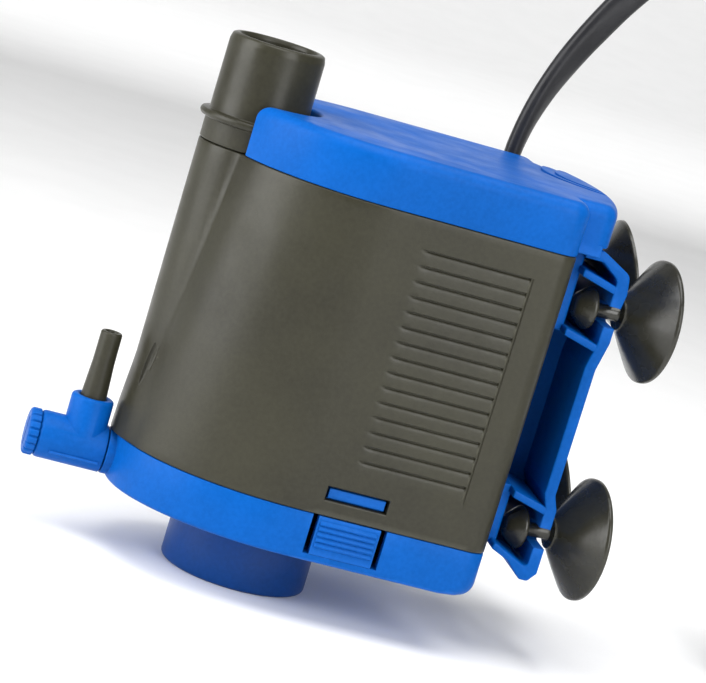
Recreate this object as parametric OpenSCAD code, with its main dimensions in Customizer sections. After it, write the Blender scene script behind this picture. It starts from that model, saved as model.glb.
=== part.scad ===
// Submersible wave maker pump: a D-shaped motor housing on a snap-on base, with an intake
// spigot below, an outlet nozzle on the riser pipe, an air-injection side tube, a slide-on
// bracket with four suction cups, and a flat cord with its plug.
// Origin: centre of the spigot's lower rim. +Z is up, +X points to the bracket.

/* [Housing] */
// Half of the housing's depth across the flat sides
half_depth = 30.4; // [28:0.2:33]
// Distance from the nose centre to the nose tip at the base
nose_reach = 36.3; // [34:0.1:38]
// Distance from the nose centre to the nose at the cap
nose_reach_top = 31.2; // [30:0.1:33]
// Distance from the spigot's axis to the flat back
back_x = 43.5; // [42:0.5:45]
// Wall thickness of the moulded covers
wall = 2; // [1.8:0.1:2.2]

/* [Heights] */
// Underside of the base above the spigot's rim
base_bottom = 13.4; // [12.6:0.2:14]
// Seam between base and housing
base_seam = 23.4; // [23:0.2:24]
// Seam between housing and cap
cap_seam = 86.6; // [86:0.2:88]
// Top of the cap
cap_top = 97.6; // [97:0.2:99]
// Rim of the outlet nozzle
nozzle_top = 109.2; // [108:0.2:116]

/* [Water ports] */
// Outer radius of the outlet nozzle where a hose fits
nozzle_r = 10; // [9.9:0.05:10.1]
// Bore radius of the outlet nozzle
riser_bore_r = 8; // [7.5:0.1:8.1]
// Outer radius of the riser pipe
riser_r = 10.4; // [10.3:0.1:10.6]
// Outer radius of the intake spigot
spigot_r = 15.5; // [15:0.1:16]
// Bore radius of the intake spigot
spigot_bore_r = 13; // [12.5:0.1:13.2]

/* [Suction cups] */
// Radius of a cup's rim
cup_r = 12.9; // [12:0.1:13]
// Turn of the near cups about the vertical in the bracket's slots
near_yaw = 9; // [0:1:9]
// Upward tilt of the far cups, whose necks lean in their slots
far_tilt = 18; // [0:1:18]

/* [Grille] */
// Number of louvre slats on the near side
slat_count = 15; // [8:1:15]

/* [Hidden] */
$fn = 64;

nose_x = 4.5;                          // centre of the rounded nose
riser_x = -21.8;                       // axis of the riser pipe and the nozzle
pipe_bore_r = riser_bore_r - 0.2;      // the riser pipe opens out a little into the nozzle
corner_r = 4;                          // back corners in plan
nose_steps = 40;                       // facets round the nose
eps = 0.01;

// Plan outline of the housing, pulled in by inset: elliptic nose, flat sides, rounded back corners.
function d_outline(reach, inset = 0) = concat(
    [for (i = [0:nose_steps]) let (a = 90 + 180 * i / nose_steps)
        [nose_x + (reach - inset) * cos(a), (half_depth - inset) * sin(a)]],
    [for (side = [-1, 1], i = [0:4]) let (a = side < 0 ? -90 + 22.5 * i : 22.5 * i, r = corner_r - inset / 2)
        [back_x - inset - r + r * cos(a), side * (half_depth - inset - r) + r * sin(a)]]);

module d_prism(z0, z1, reach, inset = 0) {
    translate([0, 0, z0]) linear_extrude(z1 - z0) polygon(d_outline(reach, inset));
}

// The nose leans back from the base seam to the cap seam.
function reach_at(z) = nose_reach + (nose_reach_top - nose_reach) * (z - base_seam) / (cap_seam - base_seam);
module leaning_body(z0, z1, inset) {
    hull() {
        d_prism(z0, z0 + eps, reach_at(z0), inset);
        d_prism(z1 - eps, z1, reach_at(z1), inset);
    }
}

module tube(z0, z1, outer, inner) {
    translate([0, 0, z0]) difference() {
        cylinder(h = z1 - z0, r = outer);
        translate([0, 0, -1]) cylinder(h = z1 - z0 + 2, r = inner);
    }
}

module box(low, high) { translate(low) cube(high - low); }

// ---------------------------------------------------------------- housing
rail_y = 12;                           // T-rails that hold the bracket
rail_low = 27;
rail_high = 84;
latch_x = [7.9, 20.9];                 // width of the latch tongue
latch_gap = 1.3;
window_z = [26.6, 29.5];               // opening for the latch's hook
chamber_floor = 25.9;
can_hole_r = 11.25;
counterbore_r = 9.2;                   // seat of the outlet nozzle in the riser pipe
counterbore_z = 80.4;
slat_pitch = 47.5 / slat_count;
slat_x = [12, 35];
slat_z0 = 33;

module t_rail(y) {
    box([back_x - 0.5, y - 1.5, rail_low], [back_x + 1.5, y + 1.5, rail_high]);
    box([back_x + 1.5, y - 3, rail_low], [back_x + 3.1, y + 3, rail_high]);
}

module louvre_grooves() {
    for (i = [0:slat_count - 1])
        box([slat_x[0], -half_depth - 1, slat_z0 + (i + 0.85) * slat_pitch],
            [slat_x[1], -half_depth + 0.35, slat_z0 + (i + 1) * slat_pitch]);
}

module latch_pocket(grow, top) {
    box([latch_x[0] - latch_gap - grow, -half_depth + wall - eps, base_seam - (grow > 0 ? 0 : 0.1)],
        [latch_x[1] + latch_gap + grow, -24 + grow, top]);
}

module motor_housing() {
    color([0.2, 0.2, 0.16]) difference() {
        union() {
            difference() {
                leaning_body(base_seam, cap_seam, 0);
                difference() {
                    leaning_body(chamber_floor, cap_seam + 0.1, wall);
                    translate([riser_x, 0, 0]) cylinder(h = 120, r = riser_r);
                    latch_pocket(1.2, 32.2);
                }
            }
            translate([riser_x, 0, base_seam]) cylinder(h = cap_seam - base_seam, r = riser_r);
            for (side = [-1, 1]) t_rail(side * rail_y);
        }
        translate([riser_x, 0, base_seam - 1]) cylinder(h = 80, r = pipe_bore_r);
        translate([riser_x, 0, counterbore_z]) cylinder(h = 20, r = counterbore_r);
        translate([0, 0, base_seam - 1]) cylinder(h = 5, r = can_hole_r);
        box([latch_x[0], -half_depth - 1, window_z[0]], [latch_x[1], -half_depth + wall + 1, window_z[1]]);
        latch_pocket(0, 31);
        louvre_grooves();
    }
}

// ---------------------------------------------------------------- cap
cap_low = cap_seam + 0.1;
cap_cut_r = 12.3;                      // clearance round the nozzle's bead
tongue_r = 58;                         // plan radius of the rear tongue
tongue_tip = 54.5;
tongue_half = 22.5;
tongue_low = 88.9;
skirt_low = cap_low + 0.2;             // the tongue's sides reach lower, past the bracket's flange
skirt_wall = 1.2;
skirt_tip = 49.5;
gland_x = 38.6;
gland_z = 90.6;
gland_neck_r = 2.8;

module cap_tongue_slice(z, inset) {
    translate([0, 0, z]) linear_extrude(eps) intersection() {
        translate([tongue_tip - inset - tongue_r, 0]) circle(r = tongue_r, $fn = 72);
        translate([back_x - 8, inset - tongue_half]) square([30, 2 * (tongue_half - inset)]);
    }
}

module top_cap() {
    color([0, 0.35, 0.8]) difference() {
        union() {
            hull() {
                d_prism(cap_low, cap_low + eps, nose_reach_top);
                d_prism(cap_top - 2.6, cap_top - 2.5, nose_reach_top);
                d_prism(cap_top - eps, cap_top, nose_reach_top, 2.4);
            }
            hull() {
                cap_tongue_slice(tongue_low, 0);
                cap_tongue_slice(cap_top - 2.65, 0);
                cap_tongue_slice(cap_top - 0.05, 2.4);
            }
            for (side = [-1, 1])
                box([back_x - 1, side > 0 ? tongue_half - skirt_wall : -tongue_half, skirt_low],
                    [skirt_tip, side > 0 ? tongue_half : skirt_wall - tongue_half, tongue_low + 0.5]);
        }
        difference() {
            d_prism(cap_low - 1, cap_top - wall, nose_reach_top, wall);
            translate([riser_x, 0, 80]) cylinder(h = 30, r = cap_cut_r + wall);
        }
        translate([riser_x, 0, 80]) cylinder(h = 30, r = cap_cut_r);
        translate([gland_x, half_depth - 4, gland_z]) rotate([-90, 0, 0])
            cylinder(h = 8, r = gland_neck_r + 0.05);
    }
}

// ---------------------------------------------------------------- base
base_floor = base_bottom + wall;
port_z = 18.7;                         // axis of the air-injection side tube
port_r = 4.95;
port_neck_r = 3.2;
volute_r = 13.6;
spigot_neck_r = 11;

module base_cover() {
    color([0, 0.35, 0.8]) difference() {
        union() {
            difference() {
                d_prism(base_bottom, base_seam - 0.1, nose_reach);
                d_prism(base_floor, base_seam + 1, nose_reach, wall);
            }
            tube(base_floor - eps, 21.4, volute_r + 1.5, volute_r);
            for (side = [-1, 1])
                box([-27.5, side * 8.8 - 0.75, base_floor - eps], [-11.5, side * 8.8 + 0.75, 21.4]);
            difference() {
                translate([-33, 0, port_z]) rotate([0, 90, 0]) cylinder(h = 6, r = port_r);
                box([-40, -10, base_seam - 0.1], [-20, 10, 30]);
            }
        }
        translate([-40, 0, port_z]) rotate([0, 90, 0]) cylinder(h = 20, r = port_neck_r + 0.05);
        translate([0, 0, base_bottom - 1]) cylinder(h = 4, r = spigot_neck_r + 0.06);
        box([-14.5, -8.05, base_floor + 0.1], [-9, 8.05, 22]);
        box([latch_x[0] - latch_gap, -half_depth - 1, base_floor - 0.5],
            [latch_x[1] + latch_gap, -half_depth + wall + 2.5, base_seam + 1]);
    }
}

module base_seal() {
    color([0.1, 0.1, 0.1]) translate([0, 0, 22.35]) rotate_extrude()
        translate([volute_r + 0.75, 0]) circle(r = 0.9, $fn = 24);
}

// Tongue that springs inwards about its root, with a hook behind the housing's window.
latch_root_z = base_floor - 0.3;
latch_depth = 1.8;

module base_latch() {
    color([0, 0.35, 0.8]) {
        box([latch_x[0], -half_depth, latch_root_z], [latch_x[1], -half_depth + latch_depth, base_seam - 0.2]);
        box([latch_x[0] + 0.6, -half_depth + wall + 0.25, latch_root_z + 2],
            [latch_x[1] - 0.6, -half_depth + wall + 1.65, 30.4]);
        box([latch_x[0] + 0.6, -half_depth + latch_depth - eps, latch_root_z + 2],
            [latch_x[1] - 0.6, -half_depth + wall + 0.3, 22.8]);
        box([latch_x[0] + 0.6, -half_depth + 0.9, window_z[0] + 0.35],
            [latch_x[1] - 0.6, -half_depth + wall + 0.3, window_z[1] - 0.35]);
        for (i = [0:4])
            box([latch_x[0] + 0.6, -half_depth - 0.45, 17 + i * 1.15],
                [latch_x[1] - 0.6, -half_depth + 0.2, 17.6 + i * 1.15]);
    }
}

// ---------------------------------------------------------------- intake
module intake_spigot() {
    color([0.02, 0.14, 0.4]) difference() {
        union() {
            rotate_extrude() polygon([[spigot_bore_r, 0.7], [spigot_bore_r + 0.7, 0], [spigot_r - 1, 0],
                [spigot_r - 0.3, 0.3], [spigot_r, 1], [spigot_r, base_bottom - 0.1], [0, base_bottom - 0.1],
                [0, base_bottom - 2], [spigot_bore_r, base_bottom - 2]]);
            translate([0, 0, base_bottom - 0.2]) cylinder(h = wall + 0.2, r = spigot_neck_r);
        }
        translate([0, 0, -1]) cylinder(h = 30, r = 9);
    }
}

module intake_strainer() {
    color([0.08, 0.08, 0.09]) translate([0, 0, 7]) difference() {
        cylinder(h = 1.6, r = spigot_bore_r - 0.06);
        for (x = [-9:3:9]) for (side = [-1, 1])
            translate([x - 0.9, side > 0 ? 0.7 : -0.7 - sqrt(132 - x * x), -1])
                cube([1.8, sqrt(132 - x * x), 4]);
    }
}

// ---------------------------------------------------------------- outlet and air injection
bead_z = 92.2;

module outlet_nozzle() {
    color([0.2, 0.2, 0.16]) translate([riser_x, 0, 0]) rotate_extrude() polygon([
        [riser_bore_r, counterbore_z + 0.2], [counterbore_r - 0.05, counterbore_z + 0.2],
        [counterbore_r - 0.05, cap_seam + 0.2], [riser_r, cap_seam + 0.2], [riser_r, bead_z - 1],
        [riser_r + 1.1, bead_z - 0.7], [riser_r + 1.45, bead_z], [riser_r + 1.1, bead_z + 0.7],
        [nozzle_r, bead_z + 0.9], [nozzle_r, nozzle_top - 1.5], [nozzle_r - 0.35, nozzle_top - 0.4],
        [nozzle_r - 0.9, nozzle_top], [riser_bore_r + 0.5, nozzle_top], [riser_bore_r, nozzle_top - 0.6]]);
}

tube_end = -47.4;
boss_x = -38.2;
boss_r = 4.45;
boss_top = 29;
nipple_bottom = 26;
nipple_top = 43;
nipple_r = 2.3;                        // straight end that holds the airline

module venturi_tube() {
    color([0, 0.35, 0.8]) difference() {
        union() {
            translate([tube_end, 0, port_z]) rotate([0, 90, 0]) cylinder(h = -33.3 - tube_end, r = port_r);
            translate([-33.4, 0, port_z]) rotate([0, 90, 0]) cylinder(h = 5.4, r = port_neck_r);
            translate([boss_x, 0, port_z]) cylinder(h = boss_top - port_z, r = boss_r);
        }
        translate([tube_end + 3, 0, port_z]) rotate([0, 90, 0]) cylinder(h = 30, r = 2);
        translate([boss_x, 0, port_z]) cylinder(h = 20, r = 1.25);
        translate([boss_x, 0, nipple_bottom]) cylinder(h = 20, r = 2.75);
        translate([tube_end - 1, 0, port_z]) rotate([0, 90, 0]) cylinder(h = 3.1, r = 1.55);
    }
}

module air_nipple() {
    color([0.15, 0.15, 0.13]) translate([boss_x, 0, 0]) rotate_extrude() polygon([
        [1.25, nipple_bottom + 0.05], [2.72, nipple_bottom + 0.05], [2.7, boss_top],
        [nipple_r, nipple_top - 7.5], [nipple_r, nipple_top - 0.5], [nipple_r - 0.3, nipple_top],
        [1.4, nipple_top], [1.25, nipple_top - 0.15]]);
}

// Serrated knob that throttles the air.
module regulator_knob() {
    color([0, 0.35, 0.8]) translate([tube_end - 2.3, 0, port_z]) rotate([0, 90, 0]) {
        difference() {
            cylinder(h = 2.2, r = port_r);
            for (i = [0:17]) rotate([0, 0, i * 20]) translate([port_r, 0, -1]) cylinder(h = 4.5, r = 0.4, $fn = 16);
        }
        cylinder(h = 4.1, r = 1.5);
    }
}

// ---------------------------------------------------------------- bracket and cups
bracket_half = 21;
slot_z = [27.7, 75.7];                 // heights of the cup slots
cup_y = 14.5;
near_tilt = 1;
slot_half = 2.2;                       // half of a slot's height, wider than the neck that leans in it
neck_r = 1.5;
plate_x = [54.9, 57.4];
shoe_y = 16.8;
shoe_top_z = [69.8, 88.4];
shoe_low_z = [23.4, 36.2];
web_x = back_x + 0.9;                  // clear of the housing's back

module bracket_profile(points) {
    translate([0, bracket_half, 0]) rotate([90, 0, 0]) linear_extrude(2 * bracket_half) polygon(points);
}

module bracket_shoe(z0, z1) {
    difference() {
        box([back_x + 0.5, -shoe_y, z0], [48.2, shoe_y, z1]);
        for (side = [-1, 1]) {
            box([back_x, side * rail_y - 1.8, z0 - 1], [back_x + 2, side * rail_y + 1.8, z1 + 1]);
            box([back_x + 1.2, side * rail_y - 3.3, z0 - 1], [back_x + 3.4, side * rail_y + 3.3, z1 + 1]);
        }
    }
}

module bracket() {
    color([0, 0.35, 0.8]) difference() {
        union() {
            // plate, its two ends leaning in, and the stepped middle
            bracket_profile([[47, 88.4], [50.6, 88.4], [57.2, 84.9], [57.8, 81], [57.4, 78], [57.4, 70.4],
                [56.2, 64.4], [56.2, 37], [57.4, 34], [57.4, 20.2], [55.8, 18.2], [54, 18.2], [50.6, 21.4],
                [46.4, 23.2], [46.8, 24.6], [54.9, 20.9], [54.9, 34], [53.8, 37], [53.8, 64.4], [54.9, 70.4],
                [54.9, 83.4], [51, 86.2], [47, 86.2]]);
            // slanted ribs above and below the cups' heads
            for (z = [83.2, 70.6, 35.4])
                bracket_profile([[47.6, z + 0.8], [55, z - 1.2], [55, z - 2.8], [47.6, z - 0.8]]);
            bracket_shoe(shoe_top_z[0], shoe_top_z[1]);
            bracket_shoe(shoe_low_z[0], shoe_low_z[1]);
            // web that stiffens the middle of the plate
            box([web_x, -1, shoe_low_z[1] - eps], [plate_x[0], 1, shoe_top_z[0] + eps]);
        }
        for (z = slot_z, side = [-1, 1]) {
            translate([50, side * (cup_y - 0.5), z]) rotate([0, 90, 0]) cylinder(h = 12, r = slot_half);
            box([53, side > 0 ? cup_y - 0.5 : -bracket_half - 1, z - slot_half],
                [60, side > 0 ? bracket_half + 1 : 0.5 - cup_y, z + slot_half]);
        }
    }
}

// Cup about its own axis: mushroom head, neck through the slot, collar and hollow cup.
cup_depth = 7.3;
cup_start = 3.4;
cup_wall = 1.5;                        // thins to less than half towards the rim
cup_flare = 1.1;
cup_steps = 10;
function cup_curve(thick) = [for (i = [0:cup_steps]) let (t = i / cup_steps)
    [3 + (cup_r - 3) * t, cup_start + thick * (1 - 0.55 * t) + cup_depth * pow(t, cup_flare)]];
function reversed(list) = [for (i = [len(list) - 1:-1:0]) list[i]];

module suction_cup(y, z, yaw, tilt) {
    color([0.13, 0.13, 0.11]) translate([(plate_x[0] + plate_x[1]) / 2, y, z])
        rotate([0, 0, yaw]) rotate([0, 90 - tilt, 0]) rotate_extrude()
            polygon(concat([[0, -7.5], [1.8, -7.4], [2.6, -6.8], [4.5, -4.3], [4.5, -3.7], [4.1, -3.4],
                [neck_r, -3.4], [neck_r, 2.8], [3.3, 2.9], [3.3, cup_start]], cup_curve(0),
                reversed(cup_curve(cup_wall)), [[0, 5.2]]));
}

// ---------------------------------------------------------------- rotor
can_r = 11.2;
can_bore_r = 9.9;
can_top = 69;
shaft_r = 1.5;
shaft_hole_r = shaft_r + 0.04;
magnet_r = 9.3;
magnet_z = [26, 60];
vane_z = [17, 21.75];                  // impeller vanes
vane_tip = 12.4;
vane_count = 6;
shroud_r = 9.4;

module rotor_can() {
    color([0.15, 0.15, 0.15]) difference() {
        union() {
            cylinder_between(base_seam - 0.1, can_top, can_r);
            cylinder_between(21.9, base_seam - 0.1, 13.2);
        }
        cylinder_between(21, can_top - 1.6, can_bore_r);
        cylinder_between(can_top - 5.4, can_top - 1.2, 3.05);
    }
}

module cylinder_between(z0, z1, r) { translate([0, 0, z0]) cylinder(h = z1 - z0, r = r); }

module rotor_magnet() {
    color([0.25, 0.22, 0.2]) difference() {
        cylinder_between(magnet_z[0], magnet_z[1], magnet_r);
        cylinder_between(20, 70, shaft_hole_r);
    }
}

module impeller() {
    color([0.85, 0.85, 0.8]) difference() {
        union() {
            cylinder_between(vane_z[0], magnet_z[0] - 0.1, 4);
            cylinder_between(vane_z[1] - 0.05, vane_z[1] + 0.85, shroud_r);
            for (i = [1:vane_count]) rotate([0, 0, i * 360 / vane_count])
                box([3, -0.6, vane_z[0]], [vane_tip, 0.6, vane_z[1]]);
        }
        cylinder_between(10, 40, shaft_hole_r);
    }
}

module rotor_shaft() { color([0.9, 0.9, 0.88]) cylinder_between(14.2, 66.4, shaft_r); }

module lower_bush() {
    color([0.12, 0.12, 0.12]) difference() {
        union() {
            tube(13.6, 16.4, 3.2, shaft_r);
            for (i = [0:2]) rotate([0, 0, i * 120]) box([2.8, -0.7, 13.8], [8.95, 0.7, 15.8]);
        }
        cylinder_between(10, 20, shaft_r);
    }
}

module upper_bush() { color([0.12, 0.12, 0.12]) tube(62, 67.3, 3, shaft_r); }

// ---------------------------------------------------------------- stator
core_z = [36, 58];
leg_y = [13.5, 20.5];

module stator_core() {
    color([0.45, 0.46, 0.48]) difference() {
        union() {
            for (side = [-1, 1])
                box([-11, side > 0 ? leg_y[0] - 5 : -leg_y[1], core_z[0]],
                    [13, side > 0 ? leg_y[1] : 5 - leg_y[0], core_z[1]]);
            for (side = [-1, 1])
                box([12, side > 0 ? leg_y[0] : -leg_y[1], core_z[0]],
                    [40, side > 0 ? leg_y[1] : -leg_y[0], core_z[1]]);
            box([33.5, -leg_y[1], core_z[0]], [40, leg_y[1], core_z[1]]);
        }
        cylinder_between(30, 70, can_r + 0.2);
    }
}

module bobbin(side) {
    mid = side * (leg_y[0] + leg_y[1]) / 2;
    color([0.9, 0.88, 0.8]) difference() {
        union() {
            box([14.2, mid - 4.6, core_z[0] - 1.2], [32.8, mid + 4.6, core_z[1] + 1.2]);
            for (x = [14.2, 31.6]) box([x, mid - 7.4, core_z[0] - 3], [x + 1.2, mid + 7.4, core_z[1] + 3]);
        }
        box([10, mid - 3.55, core_z[0] - 0.05], [40, mid + 3.55, core_z[1] + 0.05]);
    }
}

module winding(side) {
    mid = side * (leg_y[0] + leg_y[1]) / 2;
    color([0.7, 0.35, 0.15]) difference() {
        hull() for (dy = [-1, 1], z = [core_z[0] - 1.8, core_z[1] + 1.8])
            translate([15.5, mid + dy * 4.1, z]) rotate([0, 90, 0]) cylinder(h = 16, r = 2.4, $fn = 32);
        box([10, mid - 4.65, core_z[0] - 1.25], [40, mid + 4.65, core_z[1] + 1.25]);
    }
}

fuse_z = 66;
splice_z = 69;

module thermal_fuse() {
    color([0.8, 0.8, 0.78]) {
        translate([16, 0, fuse_z]) rotate([0, 90, 0]) cylinder(h = 12, r = 2);
        translate([12, 0, fuse_z]) rotate([0, 90, 0]) cylinder(h = 20, r = 0.4);
    }
}

module wire_splices() {
    color([0.7, 0.7, 0.72]) for (side = [-1, 1])
        translate([22, side * 10, splice_z]) rotate([0, 90, 0]) cylinder(h = 8, r = 1.4);
}

module potting_layer() {
    color([0.12, 0.13, 0.14]) difference() {
        leaning_body(73, 80, wall + 0.9);
        translate([riser_x, 0, 60]) cylinder(h = 40, r = riser_r + 0.1);
    }
}

// ---------------------------------------------------------------- cord and plug
cord_w = 6.4;
cord_t = 4;
cord_exit = [39.9, 34.6, 95.4];
coil_centre = [154, 2];
coil_radii = [30, 36.6];               // centre lines of the inner and outer turns
coil_layer = 6.5;                      // height of one layer of turns
coil_layers = 3;
cord_route = [[39.9, 34.6, 95.4], [40.1, 34.6, 99], [41, 34.4, 105], [42.8, 34.1, 112], [45.8, 33.8, 120],
    [49.6, 33.5, 128], [54, 33, 136], [60, 32.5, 144], [68, 32, 151], [78, 32, 155], [89, 32, 155],
    [99, 32, 150], [107, 32, 141], [113.4, 32, 129], [118, 32, 115], [121.2, 32, 100], [123.2, 31.5, 84],
    [124, 30.5, 68], [124, 28, 52], [124, 23.6, 37], [124, 17, 25], [124, 9.6, 18.4], [124, 2, 16.2]];
tail_route = [[154, -34.6, 3.2], [162, -34.6, 3.2], [170, -34.6, 3.5], [177, -34.6, 4.8], [183, -34.6, 6],
    [188, -34.6, 6.5]];

function unit(v) = v / norm(v);
function heading(p, i) = unit(p[min(i + 1, len(p) - 1)] - p[max(i - 1, 0)]);
// One ring of the swept cord: an eight-sided flat oval with its width across the bend.
function cord_ring(p, i, across) = let (t = heading(p, i), n = unit(cross(t, across)), b = cross(n, t))
    [for (k = [0:7]) let (a = 22.5 + 45 * k)
        p[i] + b * (cord_w / 2 * cos(a) / cos(22.5)) + n * (cord_t / 2 * sin(a) / sin(67.5))];

module swept_cord(p, across) {
    n = len(p);
    rings = [for (i = [0:n - 1]) each cord_ring(p, i, across)];
    polyhedron(rings, concat([[for (k = [0:7]) k]], [[for (k = [7:-1:0]) 8 * (n - 1) + k]],
        [for (i = [0:n - 2], k = [0:7]) [8 * i + k, 8 * i + 8 + k, 8 * i + 8 + (k + 1) % 8, 8 * i + (k + 1) % 8]]),
        convexity = 10);
}

module cord_gland() {
    color([0.08, 0.08, 0.08]) {
        translate([gland_x, half_depth - 4, gland_z]) rotate([-90, 0, 0]) cylinder(h = 7, r = gland_neck_r);
        translate([cord_exit[0], cord_exit[1], 86.6]) cylinder(h = 2.2, r = 4.1);
        translate([cord_exit[0], cord_exit[1], 88.8]) cylinder(h = 6.6, r1 = 4.1, r2 = 3.7);
    }
}

module cord() { color([0.06, 0.06, 0.06]) swept_cord(cord_route, [0, 1, 0]); }

coil_height = coil_layer * coil_layers + 0.2;
coil_band = [coil_radii[0] - cord_w / 2 + 0.3, coil_radii[1] + cord_w / 2 - 0.3];

module cord_coil() {
    color([0.06, 0.06, 0.06]) translate([coil_centre[0], coil_centre[1], 0]) rotate_extrude()
        translate([coil_band[0], 0]) square([coil_band[1] - coil_band[0], coil_height]);
}

module cord_tail() { color([0.06, 0.06, 0.06]) swept_cord(tail_route, [0, 1, 0]); }

// Cable tie that closes round the turns.
module coil_tie() {
    color([0.85, 0.85, 0.85]) translate([coil_centre[0], coil_centre[1], 0]) difference() {
        box([coil_band[0] - 1.3, -1.8, 0], [coil_band[1] + 1.3, 1.8, coil_height + 1.2]);
        box([coil_band[0] - 0.15, -3, -1], [coil_band[1] + 0.15, 3, coil_height + 0.1]);
    }
}

plug_x = [188, 212];
plug_y = tail_route[len(tail_route) - 1][1];
plug_height = 13;
pin_length = 17;
pin_gap = 6.35;                        // half of the distance between the flat pins
pin_half = [0.75, 3.2];                // halves of a pin's thickness and width
module plug_body() {
    color([0.07, 0.07, 0.07]) translate([0, plug_y, 0]) hull() {
        for (side = [-1, 1]) {
            translate([plug_x[0] + 3, side * 6, 0]) cylinder(h = plug_height, r = 3, $fn = 32);
            translate([plug_x[1] - 3, side * 8, 0]) cylinder(h = plug_height, r = 3, $fn = 32);
        }
    }
}

module plug_blades() {
    color([0.8, 0.75, 0.5]) for (side = [-1, 1])
        box([plug_x[1] + eps, plug_y + side * pin_gap - pin_half[0], plug_height / 2 - pin_half[1]],
            [plug_x[1] + pin_length, plug_y + side * pin_gap + pin_half[0], plug_height / 2 + pin_half[1]]);
}

motor_housing();
top_cap();
base_cover();
base_seal();
base_latch();
intake_spigot();
intake_strainer();
outlet_nozzle();
venturi_tube();
air_nipple();
regulator_knob();
bracket();
suction_cup(-cup_y, slot_z[1], near_yaw, near_tilt);  // suction_cup_near_top
suction_cup(-cup_y, slot_z[0], near_yaw, near_tilt);  // suction_cup_near_bottom
suction_cup(cup_y, slot_z[1], 0, far_tilt);  // suction_cup_far_top
suction_cup(cup_y, slot_z[0], 0, far_tilt);  // suction_cup_far_bottom
rotor_can();
rotor_magnet();
impeller();
rotor_shaft();
lower_bush();
upper_bush();
stator_core();
bobbin(-1);  // bobbin_near
bobbin(1);  // bobbin_far
winding(-1);  // winding_near
winding(1);  // winding_far
thermal_fuse();
wire_splices();
potting_layer();
cord_gland();
cord();
cord_coil();
cord_tail();
coil_tie();
plug_body();
plug_blades();
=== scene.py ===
"""Looks of the wave maker pump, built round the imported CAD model. Lengths are in millimetres
until a mesh is made, and +X points to the bracket with the suction cups."""
import math

import bmesh
import bpy
import numpy as np
from mathutils import Matrix, Vector


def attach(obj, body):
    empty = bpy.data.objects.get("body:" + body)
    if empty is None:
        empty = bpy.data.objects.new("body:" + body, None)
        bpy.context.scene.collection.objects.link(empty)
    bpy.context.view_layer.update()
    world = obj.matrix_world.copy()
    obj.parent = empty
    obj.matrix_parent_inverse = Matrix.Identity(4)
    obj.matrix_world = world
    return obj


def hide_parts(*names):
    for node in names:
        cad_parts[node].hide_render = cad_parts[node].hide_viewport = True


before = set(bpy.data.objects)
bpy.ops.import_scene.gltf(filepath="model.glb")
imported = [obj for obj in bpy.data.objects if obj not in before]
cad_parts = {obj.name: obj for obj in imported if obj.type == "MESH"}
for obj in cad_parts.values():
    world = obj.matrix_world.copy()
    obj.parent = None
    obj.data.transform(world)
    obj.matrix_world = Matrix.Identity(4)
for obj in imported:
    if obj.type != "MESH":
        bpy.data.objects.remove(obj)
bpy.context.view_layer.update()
scene = bpy.context.scene
MM = 0.001
SAME_PLACE = 1e-7  # metres
SMOOTH_ANGLE = 35  # degrees


# ---------------------------------------------------------------- materials
def material(name, colour, dark, roughness, grain=0.3, grain_size=0.4, cloud_size=25.0, edge=0.25,
             metallic=0.0, wear=0.0, streak=(1, 1, 1), specular=0.5):
    """Procedural finish: clouds between two tones, fine moulded grain, uneven gloss, soft and
    slightly worn edges. Sizes are in millimetres, grain is the strength of the bumps, and streak
    squeezes the pattern along x, y and z."""
    made = bpy.data.materials.new(name)
    made.use_nodes = True
    tree = made.node_tree
    shader = tree.nodes["Principled BSDF"]

    def add(kind, **values):
        node = tree.nodes.new(kind)
        for key, value in values.items():
            setattr(node, key, value)
        return node

    def noise(size, detail):
        node = add("ShaderNodeTexNoise")
        node.inputs["Scale"].default_value = 1 / (size * MM)
        node.inputs["Detail"].default_value = detail
        tree.links.new(mapping.outputs[0], node.inputs["Vector"])
        return node.outputs["Fac"]

    def remap(source, low, high, to_low, to_high):
        node = add("ShaderNodeMapRange")
        for socket, value in zip(node.inputs[1:5], (low, high, to_low, to_high)):
            socket.default_value = value
        tree.links.new(source, node.inputs[0])
        return node.outputs[0]

    def mixed(factor, first, second):
        node = add("ShaderNodeMix", data_type="RGBA")
        tree.links.new(factor, node.inputs[0])
        for socket, value in ((node.inputs[6], first), (node.inputs[7], second)):
            if isinstance(value, tuple):
                socket.default_value = (*value, 1)
            else:
                tree.links.new(value, socket)
        return node.outputs[2]

    coordinates = add("ShaderNodeTexCoord")
    mapping = add("ShaderNodeMapping")
    mapping.inputs["Scale"].default_value = streak
    tree.links.new(coordinates.outputs["Object"], mapping.inputs["Vector"])
    tone = mixed(remap(noise(cloud_size, 4), 0.35, 0.65, 0, 1), colour, dark)
    speck = remap(noise(0.9, 2), 0.3, 0.7, 0, 0.16)
    tone = mixed(speck, tone, tuple(min(1, c * 1.7 + 0.01) for c in colour))
    if wear:
        geometry = add("ShaderNodeNewGeometry")
        rubbed = remap(geometry.outputs["Pointiness"], 0.53, 0.62, 0, wear)
        tone = mixed(rubbed, tone, tuple(min(1, c * 2.2 + 0.05) for c in colour))
    tree.links.new(tone, shader.inputs["Base Color"])
    gloss = remap(noise(6, 3), 0.3, 0.7, roughness - 0.06, roughness + 0.08)
    tree.links.new(gloss, shader.inputs["Roughness"])
    shader.inputs["Metallic"].default_value = metallic
    shader.inputs["Specular IOR Level"].default_value = specular
    bump = add("ShaderNodeBump")
    bump.inputs["Strength"].default_value = grain
    bump.inputs["Distance"].default_value = 0.05 * MM
    tree.links.new(noise(grain_size, 3), bump.inputs["Height"])
    if edge:
        softened = add("ShaderNodeBevel", samples=4)
        softened.inputs["Radius"].default_value = edge * MM
        tree.links.new(softened.outputs[0], bump.inputs["Normal"])
    tree.links.new(bump.outputs[0], shader.inputs["Normal"])
    return made


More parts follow.
